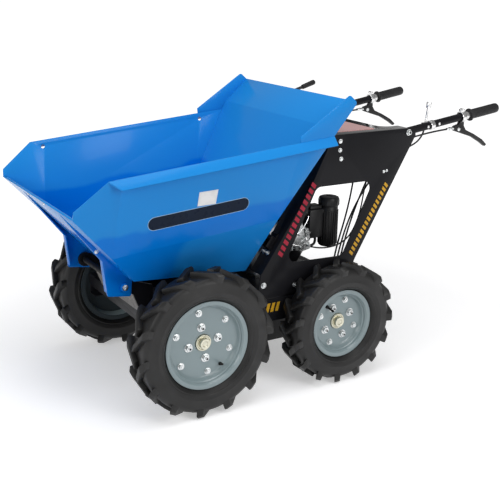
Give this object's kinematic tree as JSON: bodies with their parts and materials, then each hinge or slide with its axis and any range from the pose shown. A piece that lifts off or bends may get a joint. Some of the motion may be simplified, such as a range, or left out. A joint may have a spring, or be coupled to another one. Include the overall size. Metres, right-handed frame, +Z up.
{
  "type": "site dumper",
  "caption": "Walk-behind power dumper with a forward-tipping folded steel skip, lugged tyres, open engine bay and two handlebars.",
  "frame": {"origin": "on the ground under the middle of the machine's overall box", "axes": "+Z up, +Y towards the handlebars, -Y the end that the skip tips over, +X the machine's left side"},
  "size_m": [0.765, 1.6261, 0.9435],
  "materials": {
    "skip_paint": "glossy blue stoved paint",
    "black_paint": "satin black powder coat",
    "console_paint": "satin black powder coat",
    "zinc_steel": "bright zinc plate",
    "pad_rubber": "moulded rubber",
    "gearbox_iron": "painted casting",
    "grip_rubber": "fine ribbed black rubber",
    "lever_black": "black coated lever",
    "bright_steel": "bright plated steel",
    "engine_alloy": "raw die-cast alloy",
    "shroud_paint": "black paint",
    "tank_paint": "black paint",
    "muffler_steel": "plain steel",
    "carb_alloy": "zinc casting",
    "cleaner_plastic": "black moulded plastic",
    "cable_black": "black cable sheath",
    "tyre": "black tyre rubber",
    "rim_paint": "grey paint",
    "hub_cream": "cream plated cap"
  },
  "bodies": {
    "chassis": {"side_plate_left": "black_paint", "side_plate_right": "black_paint", "console": "console_paint", "main_frame": "black_paint", "belly_pan": "black_paint", "engine_deck": "black_paint", "pivot_pin": "zinc_steel", "skip_rest": "pad_rubber", "front_axle": "black_paint", "rear_axle": "black_paint", "gearbox": "gearbox_iron", "handlebar_left": "black_paint", "handlebar_right": "black_paint", "hand_grip_left": "grip_rubber", "hand_grip_right": "grip_rubber", "brake_lever_left": "lever_black", "brake_lever_right": "lever_black", "gear_lever": "bright_steel", "engine_block": "engine_alloy", "engine_shroud": "shroud_paint", "fuel_tank": "tank_paint", "muffler": "muffler_steel", "carburettor": "carb_alloy", "air_cleaner": "cleaner_plastic", "control_cable": "cable_black"},
    "skip": {"skip_floor": "skip_paint", "skip_rear_wall": "skip_paint", "skip_wall_left": "skip_paint", "skip_wall_right": "skip_paint", "skip_wing_left": "skip_paint", "skip_wing_right": "skip_paint", "pivot_bracket_left": "skip_paint", "pivot_bracket_right": "skip_paint"},
    "front_wheel_left": {"front_tyre_left": "tyre", "front_rim_left": "rim_paint", "front_hub_left": "hub_cream"},
    "front_wheel_right": {"front_tyre_right": "tyre", "front_rim_right": "rim_paint", "front_hub_right": "hub_cream"},
    "rear_wheel_left": {"rear_tyre_left": "tyre", "rear_rim_left": "rim_paint", "rear_hub_left": "hub_cream"},
    "rear_wheel_right": {"rear_tyre_right": "tyre", "rear_rim_right": "rim_paint", "rear_hub_right": "hub_cream"}
  },
  "joints": [
    {"name": "skip_tip", "type": "hinge", "parent": "chassis", "child": "skip", "pos_m": [0, -0.604, 0.386], "axis": [1, 0, 0], "range_deg": [0, 75]},
    {"name": "front_wheel_spin_left", "type": "hinge", "parent": "chassis", "child": "front_wheel_left", "pos_m": [0.33, -0.426, 0.231], "axis": [1, 0, 0], "continuous": true},
    {"name": "front_wheel_spin_right", "type": "hinge", "parent": "chassis", "child": "front_wheel_right", "pos_m": [-0.33, -0.426, 0.231], "axis": [1, 0, 0], "continuous": true},
    {"name": "rear_wheel_spin_left", "type": "hinge", "parent": "chassis", "child": "rear_wheel_left", "pos_m": [0.33, 0.083, 0.202], "axis": [1, 0, 0], "continuous": true},
    {"name": "rear_wheel_spin_right", "type": "hinge", "parent": "chassis", "child": "rear_wheel_right", "pos_m": [-0.33, 0.083, 0.202], "axis": [1, 0, 0], "continuous": true}
  ]
}
